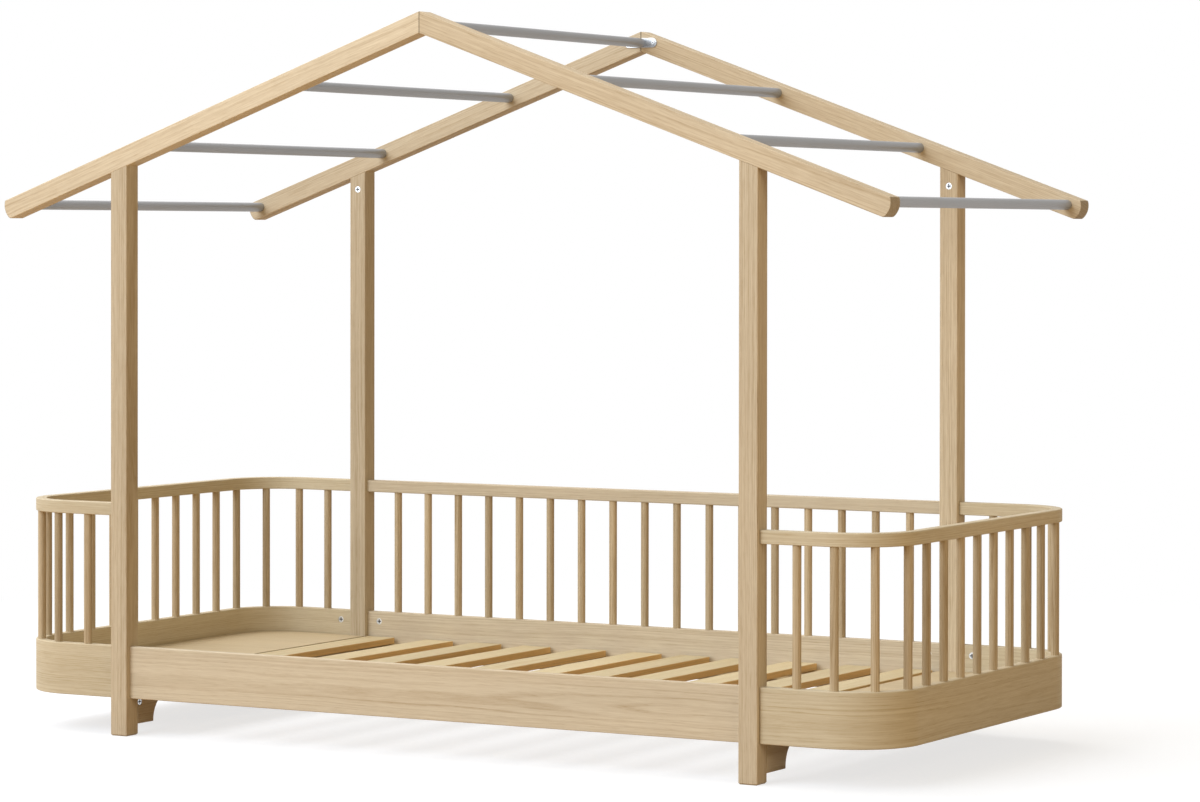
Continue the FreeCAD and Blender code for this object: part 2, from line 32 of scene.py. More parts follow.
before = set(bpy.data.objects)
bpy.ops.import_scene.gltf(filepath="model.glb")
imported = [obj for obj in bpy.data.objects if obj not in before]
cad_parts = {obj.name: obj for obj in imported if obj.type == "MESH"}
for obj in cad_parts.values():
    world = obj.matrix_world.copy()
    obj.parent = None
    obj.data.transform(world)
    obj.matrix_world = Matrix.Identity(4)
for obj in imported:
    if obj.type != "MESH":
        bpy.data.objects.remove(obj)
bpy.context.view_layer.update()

MM = 0.001
chance = np.random.default_rng(12)


def middle_height(node):
    """Height of the middle of a node's box."""
    low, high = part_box(node)
    return (low.z + high.z) / 2


# ---- sizes -------------------------------------------------------------------

post_low, post_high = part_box("post_rear_right")
bay_face_x, end_face_x = post_low.x, post_high.x
inner_face_y, outer_face_y = post_low.y, post_high.y
post_size = post_high.x - post_low.x
post_x = (post_low.x + post_high.x) / 2
post_y = (post_low.y + post_high.y) / 2
post_corner = 2.2 * MM
foot_bevel = 3 * MM
foot_corner = 0.6 * MM

base_low, base_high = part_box("end_base_right")
rail_low, rail_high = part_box("end_rail_right")
bent_thickness = 24 * MM
bend_radius = 143 * MM
bend_centre_x = base_high.x - bend_radius
bend_centre_y = base_high.y - bend_radius
centreline_radius = bend_radius - bent_thickness / 2
arm_end_bevel = 3 * MM
bent_corner = 2.4 * MM
board_corner = 2.2 * MM
butt_arris = 0.35 * MM  # at ends that butt on a post

roof_slope = math.radians(19.82)
ridge_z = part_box("rafter_rear_right")[1].z
rafter_depth = 43 * MM
rafter_length = 1157.5 * MM
nose_bulge = 7 * MM
nose_top_radius = 3 * MM
nose_bottom_radius = 8 * MM
timber_arris = 1.8 * MM
mitre_arris = 1.3 * MM
rafter_drop = rafter_depth / math.cos(roof_slope)

spindle_radius = 9 * MM
rod_radius = 11 * MM
rod_wall = 1.5 * MM

# each lock sits in a bore that is a little wider and deeper than itself
lock_radius = 7.5 * MM
lock_bore_radius = 7.65 * MM
lock_setback = 0.5 * MM  # of the head behind the wood's face
base_lock_distance = 32 * MM
base_lock_drop = 23.5 * MM
base_lock_z = base_high.z - base_lock_drop
roof_lock_z = middle_height("roof_locks")
cross_lock_z = middle_height("cross_board_locks")
arm_inner_y = post_y - bent_thickness / 2
panel_inner_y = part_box("side_panel_rear")[0].y
post_lock_depth, post_bore_depth = 24 * MM, 27 * MM
arm_lock_depth, arm_bore_depth = 15 * MM, 17 * MM
panel_lock_depth, panel_bore_depth = 12 * MM, 14 * MM
cross_lock_depth, cross_bore_depth = 15 * MM, 17 * MM

plate_height = 22 * MM
plate_thickness = 2.5 * MM
plate_arris = 0.6 * MM
plate_z = middle_height("ridge_plate_rear")
plate_screw_spacing = 65 * MM
screw_radius = 3.5 * MM
screw_head_height = 1.2 * MM
screw_length = 22 * MM

# reach, width and depth of the cross sunk into a head
lock_cross = (4.9 * MM, 2.3 * MM, 2.0 * MM)
screw_cross = (2.3 * MM, 0.9 * MM, 1.0 * MM)

# ---- outlines and surfaces ---------------------------------------------------


def turned(vector, angle):
    """Vectors of the plane turned counterclockwise by an angle."""
    across = np.cos(angle) * vector[..., 0] - np.sin(angle) * vector[..., 1]
    up = np.sin(angle) * vector[..., 0] + np.cos(angle) * vector[..., 1]
    return np.stack([across, up], axis=-1)


def rounded(corners, radii, steps=4):
    """Counterclockwise outline of a polygon whose corners are arcs, with its normals.

    Each arc starts radius * tan(turn / 2) before its corner.  Its centre is one radius inside
    the edge that leads to it, or outside where the outline turns the other way.
    """
    corners = np.asarray(corners, float)
    radii = np.broadcast_to(radii, len(corners)).astype(float)[:, None]
    towards = corners - np.roll(corners, 1, axis=0)
    towards /= np.linalg.norm(towards, axis=1, keepdims=True)
    away = np.roll(towards, -1, axis=0)
    cross = towards[:, 0] * away[:, 1] - towards[:, 1] * away[:, 0]
    turn = np.arctan2(cross, (towards * away).sum(axis=1))[:, None]
    bend = np.sign(turn) * radii
    start = corners - towards * radii * np.tan(np.abs(turn) / 2)
    normal = np.stack([towards[:, 1], -towards[:, 0]], axis=1)
    centre = start - bend * normal
    normals = turned(normal[:, None, :], turn * np.linspace(0, 1, steps + 1))
    points = centre[:, None, :] + bend[:, :, None] * normals
    return points.reshape(-1, 2), normals.reshape(-1, 2)


def arc(centre, radius, start, end, steps):
    """Points and normals of an arc: centre + radius * (cos, sin)."""
    angle = np.linspace(start, end, steps + 1)
    normals = np.stack([np.cos(angle), np.sin(angle)], axis=1)
    return np.asarray(centre) + radius * normals, normals


def shell(name, rings):
    """Closed surface through rings of points, shaped (bodies, rings, points, 3).

    Neighbouring rings are joined by quads, and the first and last are closed by one face each.
    """
    rings = np.asarray(rings, float)
    bodies, rows, around = rings.shape[:3]
    index = np.arange(bodies * rows * around).reshape(bodies, rows, around)
    low, high = index[:, :-1], index[:, 1:]
    walls = np.stack([low, np.roll(low, -1, 2), np.roll(high, -1, 2), high], axis=-1)
    ends = np.concatenate([index[:, 0, ::-1], index[:, -1]])
    mesh = bpy.data.meshes.new(name)
    faces = walls.reshape(-1, 4).tolist() + ends.tolist()
    mesh.from_pydata(rings.reshape(-1, 3).tolist(), [], faces)
    piece = bpy.data.objects.new(name, mesh)
    bpy.context.scene.collection.objects.link(piece)
    return piece


rim_rings = 4  # on each rim of a slab


def slab(name, outline, normals, origin, axis_u, axis_v, length, arris):
    """Outline in the plane of u and v, carried along u x v, with both rims rounded.

    On a rim, at angle a, the outline is drawn in by arris * (1 - sin a) at a depth of
    arris * (1 - cos a).
    """
    axis_u, axis_v = np.asarray(axis_u, float), np.asarray(axis_v, float)
    arris = np.broadcast_to(arris, len(outline))
    angle = np.linspace(0, math.pi / 2, rim_rings)[:, None]
    inset = (1 - np.sin(angle)) * arris
    depth = (1 - np.cos(angle)) * arris
    inset = np.concatenate([inset, inset[::-1]])[..., None]
    depth = np.concatenate([depth, length - depth[::-1]])[..., None]
    flat = outline - normals * inset
    rings = np.asarray(origin) + flat[..., :1] * axis_u + flat[..., 1:] * axis_v
    return shell(name, (rings + depth * np.cross(axis_u, axis_v))[None])


def beam(name, low, high, axis, corner, arris):
    """Bar along one axis: a rounded rectangle carried from its low to its high end."""
    low, high = np.asarray(low, float), np.asarray(high, float)
    axes = np.roll(np.eye(3), -axis - 1, axis=0)
    width, height = axes[0] @ (high - low), axes[1] @ (high - low)
    corners = [(0, 0), (width, 0), (width, height), (0, height)]
    outline, normals = rounded(corners, corner)
    return slab(name, outline, normals, low, axes[0], axes[1], high[axis] - low[axis], arris)


def side_axes(direction):
    """Two unit vectors u and v square to a direction, with u x v along it."""
    direction = np.asarray(direction, float)
    helper = np.eye(3)[np.argmin(np.abs(direction))]
    axis_u = np.cross(helper, direction)
    axis_u /= np.linalg.norm(axis_u)
    return axis_u, np.cross(direction, axis_u)


def turning(places, direction, radii, distances, around):
    """Rings of turned bodies: at each distance along the axis, a circle of that radius."""
    axis_u, axis_v = side_axes(direction)
    angle = np.linspace(0, 2 * math.pi, around, endpoint=False)[:, None]
    circle = np.cos(angle) * axis_u + np.sin(angle) * axis_v
    radii = np.asarray(radii, float)[:, None, None]
    shift = np.asarray(distances, float)[:, None, None] * np.asarray(direction, float)
    return np.asarray(places, float)[:, None, None, :] + radii * circle + shift


def bored(piece, places, direction, radius, depth):
    """Cut blind round holes into a piece."""
    entry = 2 * MM
    rings = turning(places, direction, [radius, radius], [-entry, depth], around=48)
    cutter = shell("hole_cutter", rings)
    cut = piece.modifiers.new("holes", "BOOLEAN")
    cut.operation = "DIFFERENCE"
    cut.solver = "EXACT"
    cut.object = cutter
    shaped = piece.evaluated_get(bpy.context.evaluated_depsgraph_get())
    mesh = bpy.data.meshes.new_from_object(shaped)
    piece.modifiers.clear()
    piece.data = mesh
    bpy.data.objects.remove(cutter)
    return piece


# ---- finishing a piece -------------------------------------------------------

sharp_angle = math.radians(42)
# painted shade, in plank tones: along the rafters' mitre seam, on the rafters' noses over their
# darker end grain, and on the end panels' edges by the slats
seam_shade = 14.0  # in plank tones
end_grain_shade = 7.0
gap_shade = 7.0


def points_of(piece):
    """A piece's own points as an array."""
    points = np.zeros(len(piece.data.vertices) * 3)
    piece.data.vertices.foreach_get("co", points)
    return points.reshape(-1, 3)


def stamp(piece, grain, tone):
    """Store the place in the plank, along, across and through it, and a tone: the plank's, less
    any painted shade, or on metal heads the painted shade in the cross.
    """
    attribute = piece.data.attributes.new("grain", "FLOAT_VECTOR", "POINT")
    attribute.data.foreach_set("vector", np.asarray(grain, np.float32).ravel())
    attribute = piece.data.attributes.new("tone", "FLOAT", "POINT")
    tones = np.broadcast_to(tone, len(piece.data.vertices)).astype(np.float32)
    attribute.data.foreach_set("value", tones)


def plank_shift(count=None):
    """Where in the tree a piece was cut: far along, and off the pith to one side."""
    size = () if count is None else (count,)
    angle = chance.uniform(0, 2 * math.pi, size)
    reach = chance.uniform(0.05, 0.14, size)
    along = chance.uniform(0, 9, size)
    return np.stack([along, reach * np.cos(angle), reach * np.sin(angle)], axis=-1)


def plank_tone(count=None):
    """Small difference in lightness between planks."""
    return chance.normal(0, 1, () if count is None else (count,)).clip(-1.6, 1.6)


def on_rims(shade):
    """Darkening of a slab's edge, outline point by outline point, on all but its end rings."""
    rings = np.zeros((2 * rim_rings, len(shade)))
    rings[1:-1] = shade
    return rings.ravel()


def straight_grain(piece, along, tone=None, shade=0.0):
    """Grain that runs one way through the whole piece, which painted shade darkens point by
    point.
    """
    along = np.asarray(along, float)
    along /= np.linalg.norm(along)
    across, through = side_axes(along)
    points = points_of(piece)
    middle = (points.min(axis=0) + points.max(axis=0)) / 2
    grain = (points - middle) @ np.stack([along, across, through]).T
    shift = plank_shift()
    tone = plank_tone() if tone is None else tone
    stamp(piece, grain + shift, tone - shade)


def bent_grain(piece):
    """Grain round a bent end: arc length along it, height across, depth through.

    With X and Y the distances past the bends' centres, the arc length is the straight run plus
    centreline radius * atan2(Y, X), and the depth is sqrt(X^2 + Y^2).
    """
    points = points_of(piece)
    x, y = np.abs(points[:, 0]), np.abs(points[:, 1])
    past_x = np.maximum(x - bend_centre_x, 0)
    past_y = np.maximum(y - bend_centre_y, 0)
    bend = centreline_radius * np.arctan2(past_y, past_x)
    along = np.minimum(y, bend_centre_y) + bend + np.maximum(bend_centre_x - x, 0)
    depth = np.hypot(past_x, past_y) - centreline_radius
    height = points[:, 2] - points[:, 2].mean()
    grain = np.stack([along * np.sign(points[:, 1]), height, depth], axis=1)
    stamp(piece, grain + plank_shift(), plank_tone())


def finish_piece(piece, material, nodes):
    """Smooth shading that keeps flat faces flat, the material, and the nodes it stands for."""
    piece.data.shade_smooth()
    piece.data.set_sharp_from_angle(angle=sharp_angle)
    weigh = piece.modifiers.new("flat_faces", "WEIGHTED_NORMAL")
    weigh.keep_sharp = True
    piece.data.materials.clear()
    piece.data.materials.append(material)
    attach(piece, "root")
    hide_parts(*nodes)
    return piece


# ---- shader helpers ----------------------------------------------------------


def put(tree, kind, values=None, **settings):
    """Add a shader node.  values fills its inputs by name or number; a socket is linked."""
    made = tree.nodes.new("ShaderNode" + kind)
    for key, value in settings.items():
        setattr(made, key, value)
    for key, value in (values or {}).items():
        if isinstance(value, bpy.types.NodeSocket):
            tree.links.new(value, made.inputs[key])
        else:
            made.inputs[key].default_value = value
    return made


def figure(tree, operation, first, second=0.0):
    """One step of arithmetic."""
    return put(tree, "Math", {0: first, 1: second}, operation=operation).outputs[0]


def summed(tree, terms):
    """Several values added up."""
    total = terms[0]
    for term in terms[1:]:
        total = figure(tree, "ADD", total, term)
    return total


def stretched(tree, place, factors):
    """Coordinates multiplied axis by axis."""
    return put(tree, "VectorMath", {0: place, 1: factors}, operation="MULTIPLY").outputs[0]


def noise(tree, place, scale, detail, output="Fac"):
    """Cloudy pattern."""
    values = {"Vector": place, "Scale": scale, "Detail": detail}
    return put(tree, "TexNoise", values).outputs[output]


def drawn_out(tree, place, fineness, detail):
    """Cloudy pattern with a fineness of its own along each axis."""
    return noise(tree, stretched(tree, place, fineness), 1.0, detail)


def spread(tree, value, low, high, new_low, new_high):
    """Value moved from one range to another, and held there."""
    values = {0: value, 1: low, 2: high, 3: new_low, 4: new_high}
    return put(tree, "MapRange", values).outputs[0]


def blended(tree, share, first, second, way="MIX"):
    """Two colours mixed."""
    values = {0: share, 6: first, 7: second}
    return put(tree, "Mix", values, data_type="RGBA", blend_type=way).outputs[2]


def edge_mark(tree, radius):
    """1 along the piece's convex edges, 0 on its flats: how far a rounded normal leans away."""
    rounded_normal = put(tree, "Bevel", {"Radius": radius}, samples=4).outputs[0]
    normal = put(tree, "NewGeometry").outputs["Normal"]
    lean = put(tree, "VectorMath", {0: rounded_normal, 1: normal}, operation="DOT_PRODUCT")
    return spread(tree, lean.outputs["Value"], 0.995, 0.90, 0.0, 1.0)


def seen_directly(tree):
    """1 for what the camera sees, also by gloss or through glass; 0 for what only lights."""
    rays = put(tree, "LightPath").outputs
    seen = figure(tree, "MAXIMUM", rays["Is Camera Ray"], rays["Is Glossy Ray"])
    return figure(tree, "MAXIMUM", seen, rays["Is Transmission Ray"])


def new_material(name):
    """Empty principled material, its node tree and its shader."""
    material = bpy.data.materials.new(name)
    material.use_nodes = True
    return material, material.node_tree, material.node_tree.nodes["Principled BSDF"]


# ---- materials ---------------------------------------------------------------

# fineness of the oak's patterns along, across and through the plank, per metre
season_fineness = (0.5, 60.0, 60.0)
patch_fineness = (0.8, 26.0, 26.0)
line_fineness = (0.9, 400.0, 16.0)  # along, out from the pith, and across
fibre_fineness = (16.0, 700.0, 700.0)
fleck_fineness = (22.0, 330.0, 330.0)
pore_fineness = (46.0, 1500.0, 1500.0)
cloud_fineness = (1.6, 9.0, 9.0)
# patches of the painted highlight on the arrises
highlight_patch_fineness = (7.0, 30.0, 30.0)
scratch_fineness = (300.0, 4000.0, 2500.0)  # on zinc

# how far a pattern takes the wood from its pale to its deep colour
ring_depth = 0.40
line_depth = 0.50
fibre_depth = 0.30
pore_depth = 0.45

cloud_drift = 0.05  # of lightness, either way
# painted highlight along the arrises: how much paler and how much smoother they are made, and how
# wide
arris_highlight = 0.10
arris_smoother = 0.14
arris_highlight_width = 1.6 * MM
sway_reach = 0.028


def swaying(tree, place):
    """The place in the plank, moved slowly sideways along it, as a trunk's rings are."""
    sway = noise(tree, stretched(tree, place, (0.14, 1.0, 1.0)), 6.0, 3.0, "Color")
    centred = put(tree, "VectorMath", {0: sway, 1: (0.5, 0.5, 0.5)}, operation="SUBTRACT")
    moved = stretched(tree, centred.outputs[0], (0.0, sway_reach, sway_reach))
    return put(tree, "VectorMath", {0: place, 1: moved}, operation="ADD").outputs[0]


def early_wood_at(tree, place, radius, ring_width):
    """1 in the porous early wood of each growth ring, 0 in its late wood.

    A ring's phase is the fraction of radius / ring width + a season of noise.
    """
    season = drawn_out(tree, place, season_fineness, 2.0)
    count = figure(tree, "ADD", figure(tree, "DIVIDE", radius, ring_width), season)
    phase = figure(tree, "FRACT", count)
    rise = spread(tree, phase, 0.0, 0.30, 0.0, 1.0)
    fall = spread(tree, phase, 0.90, 1.0, 1.0, 0.0)
    late_wood = figure(tree, "MULTIPLY", rise, fall)
    return figure(tree, "SUBTRACT", 1.0, late_wood)


def oak(
    name,
    pale,
    deep,
    ring_width=4.2 * MM,
    figure_strength=1.0,
    tone_step=0.05,
    fleck_depth=0.2,
    side_shade_colour=None,
):
    """Oak with growth rings about the pith, fibres and open pores drawn out along the grain.

    Where a board's side faces get a painted shade colour, its edge attribute says where they are.
    """
    material, tree, shader = new_material(name)
    place = put(tree, "Attribute", attribute_name="grain").outputs["Vector"]
    tone = put(tree, "Attribute", attribute_name="tone").outputs["Fac"]

    # growth rings by the distance from the pith
    swayed = swaying(tree, place)
    sideways = stretched(tree, swayed, (0.0, 1.0, 1.0))
    radius = put(tree, "VectorMath", {0: sideways}, operation="LENGTH").outputs["Value"]
    early_wood = early_wood_at(tree, place, radius, ring_width)

    # which rings show strongly changes from place to place
    patch = drawn_out(tree, place, patch_fineness, 2.0)
    ring_mark = figure(tree, "MULTIPLY", early_wood, spread(tree, patch, 0.35, 0.68, 0.15, 1.0))

    # darker lines that follow the rings, fibres and pores, all drawn out along the grain
    parts = put(tree, "SeparateXYZ", {0: place}).outputs
    in_ring = put(tree, "CombineXYZ", {0: parts[0], 1: radius, 2: parts[1]}).outputs[0]
    line = drawn_out(tree, in_ring, line_fineness, 4.0)
    line_mark = spread(tree, line, 0.47, 0.70, 0.0, 1.0)
    fibre = drawn_out(tree, place, fibre_fineness, 3.0)
    fleck = drawn_out(tree, swayed, fleck_fineness, 3.0)
    pore = drawn_out(tree, place, pore_fineness, 1.0)
    pore_mark = spread(tree, pore, 0.58, 0.70, 0.0, 1.0)
    pore_mark = figure(tree, "MULTIPLY", pore_mark, spread(tree, early_wood, 0.0, 1.0, 0.3, 1.0))

    marks = [
        figure(tree, "MULTIPLY", ring_mark, ring_depth * figure_strength),
        figure(tree, "MULTIPLY", line_mark, line_depth * figure_strength),
        spread(tree, fibre, 0.3, 0.75, 0.0, fibre_depth),
        spread(tree, fleck, 0.42, 0.66, 0.0, fleck_depth),
        figure(tree, "MULTIPLY", pore_mark, pore_depth),
    ]
    mark = summed(tree, marks)
    ground = (*pale, 1.0)
    # painted shade: side faces take the warm orange of their shade
    if side_shade_colour:
        edge = put(tree, "Attribute", attribute_name="edge").outputs["Fac"]
        ground = blended(tree, edge, ground, (*side_shade_colour, 1.0))
    colour = blended(tree, mark, ground, (*deep, 1.0))

    # painted highlight: the arrises are made paler, here more and there less, and smoother
    highlight_patches = drawn_out(tree, place, highlight_patch_fineness, 3.0)
    highlight_share = spread(tree, highlight_patches, 0.35, 0.65, 0.3, 1.0)
    pale_edge = figure(tree, "MULTIPLY", edge_mark(tree, arris_highlight_width), highlight_share)

    # lightness: a slow drift, the plank's own tone less any painted shade, and the painted
    # highlight on the arrises
    cloud = drawn_out(tree, place, cloud_fineness, 2.0)
    changes = [
        spread(tree, cloud, 0.3, 0.7, -cloud_drift, cloud_drift),
        1.0,
        figure(tree, "MULTIPLY", tone, tone_step),
        figure(tree, "MULTIPLY", pale_edge, arris_highlight),
    ]
    level = summed(tree, changes)
    grey = put(tree, "CombineColor", {0: level, 1: level, 2: level}).outputs[0]
    colour = blended(tree, 1.0, colour, grey, "MULTIPLY")
    tree.links.new(colour, shader.inputs["Base Color"])

    rough = spread(tree, mark, 0.0, 1.0, 0.50, 0.68)
    rough = figure(tree, "SUBTRACT", rough, figure(tree, "MULTIPLY", pale_edge, arris_smoother))
    tree.links.new(rough, shader.inputs["Roughness"])
    shader.inputs["Specular IOR Level"].default_value = 0.16
    height = figure(tree, "SUBTRACT", figure(tree, "MULTIPLY", fibre, 0.5), pore_mark)
    relief = {"Strength": 0.35, "Distance": 0.25 * MM, "Height": height}
    tree.links.new(put(tree, "Bump", relief).outputs[0], shader.inputs["Normal"])
    return material


def lacquered_tube(name):
    """Satin grey metallic lacquer with a faint orange peel, paler grey at the rims."""
    material, tree, shader = new_material(name)
    place = put(tree, "TexCoord").outputs["Object"]
    cloud = noise(tree, place, 5.0, 3.0)
    peel = noise(tree, place, 900.0, 2.0)
    colour = blended(tree, cloud, (0.325, 0.338, 0.365, 1.0), (0.365, 0.378, 0.405, 1.0))
    pale_edge = edge_mark(tree, 0.8 * MM)
    colour = blended(tree, pale_edge, colour, (0.52, 0.53, 0.55, 1.0))
    tree.links.new(colour, shader.inputs["Base Color"])
    shader.inputs["Metallic"].default_value = 0.5
    tree.links.new(spread(tree, peel, 0.3, 0.7, 0.44, 0.54), shader.inputs["Roughness"])
    relief = {"Strength": 0.12, "Distance": 0.05 * MM, "Height": peel}
    tree.links.new(put(tree, "Bump", relief).outputs[0], shader.inputs["Normal"])
    return material


def bright_zinc(name, dull, bright, smoothest, roughest):
    """Zinc plate: bright metal with a fine crystalline mottle and tiny scratches, a painted
    highlight on its rims and painted shade in its sunk cross.
    """
    material, tree, shader = new_material(name)
    place = put(tree, "TexCoord").outputs["Object"]
    mottle = noise(tree, place, 420.0, 3.0)
    scratch = drawn_out(tree, place, scratch_fineness, 2.0)
    colour = blended(tree, mottle, (*dull, 1.0), (*bright, 1.0))
    # painted highlight: paler along the rims
    colour = blended(tree, edge_mark(tree, 0.3 * MM), colour, (0.86, 0.87, 0.89, 1.0))
    # painted shade down in the sunk cross, which the tone attribute marks
    recess_shade = put(tree, "Attribute", attribute_name="tone").outputs["Fac"]
    colour = blended(tree, recess_shade, colour, (0.06, 0.06, 0.065, 1.0))
    tree.links.new(colour, shader.inputs["Base Color"])
    shader.inputs["Metallic"].default_value = 1.0
    rough = spread(tree, scratch, 0.3, 0.7, smoothest, roughest)
    tree.links.new(rough, shader.inputs["Roughness"])
    relief = {"Strength": 0.15, "Distance": 0.03 * MM, "Height": scratch}
    tree.links.new(put(tree, "Bump", relief).outputs[0], shader.inputs["Normal"])
    return material


timber = oak("oak_timber", (0.68, 0.593, 0.455), (0.40, 0.295, 0.175), figure_strength=0.8)
laminate = oak(
    "oak_laminate",
    (0.625, 0.56, 0.426),
    (0.415, 0.323, 0.19),
    figure_strength=0.68,
    tone_step=0.02,
    fleck_depth=0.16,
)
board_oak = oak(
    "oak_board",
    (0.635, 0.565, 0.445),
    (0.41, 0.32, 0.21),
    figure_strength=0.75,
    tone_step=0.02,
    fleck_depth=0.13,
)
spindle_oak = oak(
    "oak_spindle",
    (0.56, 0.468, 0.33),
    (0.32, 0.228, 0.128),
    tone_step=0.08,
    fleck_depth=0.18,
)
slat_pine = oak(
    "slat_pine",
    (0.63, 0.552, 0.37),
    (0.51, 0.39, 0.215),
    ring_width=5.5 * MM,
    figure_strength=0.7,
    fleck_depth=0.08,
    # painted shade: the slats' side faces in the warm orange of their shade
    side_shade_colour=(0.78, 0.535, 0.25),
)
panel_veneer = oak("panel_veneer", (0.595, 0.505, 0.345), (0.45, 0.34, 0.20), 6 * MM, 0.6)
ledge_pine = oak("ledge_pine", (0.62, 0.50, 0.30), (0.44, 0.31, 0.155), 5 * MM, 0.7)
rod_lacquer = lacquered_tube("rod_lacquer")
zinc = bright_zinc("bright_zinc", (0.44, 0.46, 0.49), (0.66, 0.68, 0.71), 0.18, 0.32)
cast_zinc = bright_zinc("cast_zinc", (0.62, 0.65, 0.69), (0.92, 0.94, 0.96), 0.30, 0.48)


# ---- timber frame ------------------------------------------------------------

# how light each timber is, in steps of tone
timber_tones = {
    "post_front_left": -2.0,
    "post_front_right": -1.0,
    "post_rear_left": -2.8,
    "post_rear_right": 0.2,
    "rafter_front_left": 2.0,
    "rafter_front_right": 0.6,
    "rafter_rear_left": -1.8,
    "rafter_rear_right": 0.0,
}


def rafter_underside(x):
    """Height of the rafters' lower faces at a distance from the ridge."""
    return ridge_z - rafter_drop - np.abs(x) * math.tan(roof_slope)


def square_ring(reach, corner):
    """Rounded square about the middle of a post."""
    corners = [(-reach, -reach), (reach, -reach), (reach, reach), (-reach, reach)]
    return rounded(corners, corner)[0]


def post(name, side_x, side_y):
    """Rounded square, drawn in at the foot, whose top follows the rafter's slope."""
    half = post_size / 2
    middle = (side_x * post_x, side_y * post_y)
    foot = square_ring(half - foot_bevel, foot_corner) + middle
    shaft = square_ring(half, post_corner) + middle
    rings = [
        np.insert(foot, 2, 0.0, axis=1),
        np.insert(shaft, 2, foot_bevel, axis=1),
        np.column_stack([shaft, rafter_underside(shaft[:, 0])]),
    ]
    piece = shell("timber_" + name, [rings])
    lock_place = (side_x * post_x, side_y * inner_face_y, roof_lock_z)
    bored(piece, [lock_place], (0, side_y, 0), lock_bore_radius, post_bore_depth)
    straight_grain(piece, (0, 0, 1), timber_tones[name])
    finish_piece(piece, timber, [name])


def rafter_outline():
    """Rafter in its own slope: u down the slope, v out of it, with the ridge's top at 0, 0.

    The nose is an arc of radius ((depth / 2)^2 + bulge^2) / (2 * bulge); a fillet of radius f
    touches the long edge and, one f inside it, the nose.
    """
    half = rafter_depth / 2
    nose_radius = (half**2 + nose_bulge**2) / (2 * nose_bulge)
    nose_u = rafter_length + nose_bulge - nose_radius
    low_v = nose_bottom_radius - half
    low_u = nose_u + math.sqrt((nose_radius - nose_bottom_radius) ** 2 - low_v**2)
    high_v = half - nose_top_radius
    high_u = nose_u + math.sqrt((nose_radius - nose_top_radius) ** 2 - high_v**2)
    low_turn = math.atan2(low_v, low_u - nose_u)
    high_turn = math.atan2(high_v, high_u - nose_u)
    quarter = math.pi / 2
    mitre = [
        (0, 0),
        (rafter_drop * math.sin(roof_slope), -rafter_depth),
        (rafter_length / 2, -rafter_depth),
        (rafter_length / 2, 0),
    ]
    corners, corner_normals = rounded(mitre, mitre_arris)
    ridge = len(corners) // 2  # the arcs at the ridge's top and bottom
    low_centre, high_centre = (low_u, low_v - half), (high_u, high_v - half)
    under, under_normals = arc(low_centre, nose_bottom_radius, -quarter, low_turn, 8)
    nose, nose_normals = arc((nose_u, -half), nose_radius, low_turn, high_turn, 16)
    over, over_normals = arc(high_centre, nose_top_radius, high_turn, quarter, 6)
    points = [corners[:ridge], under[:-1], nose, over[1:]]
    normals = [corner_normals[:ridge], under_normals[:-1], nose_normals, over_normals[1:]]
    arris = np.full(sum(len(run) for run in points), timber_arris)
    arris[:ridge] = mitre_arris
    # painted shade along the mitre seam; on the nose the end grain is darker, deepened by painted
    # shade
    shade = np.zeros(len(arris))
    shade[1 : ridge - 1] = seam_shade
    shade[ridge + 1 : -1] = end_grain_shade
    return np.concatenate(points), np.concatenate(normals), arris, shade


def rafter(name, side_x, side_y):
    """Rafter outline carried through the gable's thickness, with painted shade along the mitre
    seam, and its end grain darker, deepened by painted shade on the nose.
    """
    outline, normals, arris, shade = rafter_outline()
    axis_u = (side_x * math.cos(roof_slope), 0, -math.sin(roof_slope))
    axis_v = (side_x * math.sin(roof_slope), 0, math.cos(roof_slope))
    start_y = outer_face_y if side_x == side_y else inner_face_y  # u x v is -side_x along Y
    origin = (0, side_y * start_y, ridge_z)
    piece = slab("timber_" + name, outline, normals, origin, axis_u, axis_v, post_size, arris)
    straight_grain(piece, axis_u, timber_tones[name], on_rims(shade))
    finish_piece(piece, timber, [name])


for y_name, side_y in (("front", -1), ("rear", 1)):
    for x_name, side_x in (("left", -1), ("right", 1)):
        post(f"post_{y_name}_{x_name}", side_x, side_y)
        rafter(f"rafter_{y_name}_{x_name}", side_x, side_y)


# ---- bent ends ---------------------------------------------------------------


